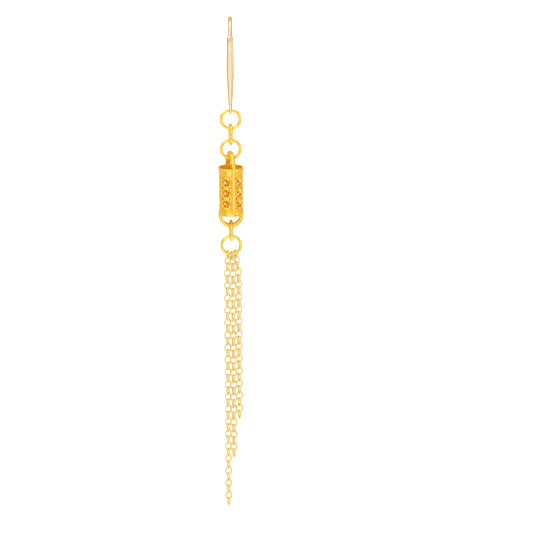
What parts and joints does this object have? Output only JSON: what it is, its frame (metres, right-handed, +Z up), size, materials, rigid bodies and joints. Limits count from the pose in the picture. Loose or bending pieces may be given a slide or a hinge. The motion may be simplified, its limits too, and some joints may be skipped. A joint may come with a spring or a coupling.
{
  "type": "dangle earring",
  "caption": "Lever-back drop earring: jump rings carry a pierced tube on a bail, and stepped cable chains hang from the stirrup below it.",
  "frame": {"origin": "underside of the ear wire's arch, where the pierced ear carries the earring", "axes": "+Z up along the hanging line, the front of the ear wire and tube faces -Y, +X to the viewer's right"},
  "size_m": [0.005, 0.0114, 0.0996],
  "materials": {
    "pale_gold": "polished pale gold plate",
    "yellow_gold": "polished yellow gold plate",
    "chain_gold": "bright gold plate"
  },
  "bodies": {
    "hook": {"ear_wire": "pale_gold", "back_lever": "pale_gold"},
    "drop": {"ring_1": "yellow_gold", "ring_2": "yellow_gold", "ring_3": "yellow_gold", "pierced_tube": "yellow_gold", "ring_4": "yellow_gold", "ring_5": "yellow_gold", "chain_long": "chain_gold", "chain_middle": "chain_gold", "chain_short": "chain_gold"}
  },
  "joints": [
    {"name": "drop_swing", "type": "hinge", "parent": "hook", "child": "drop", "pos_m": [0, -0.004, -0.01714], "axis": [1, 0, 0], "range_deg": [-60, 60]}
  ]
}
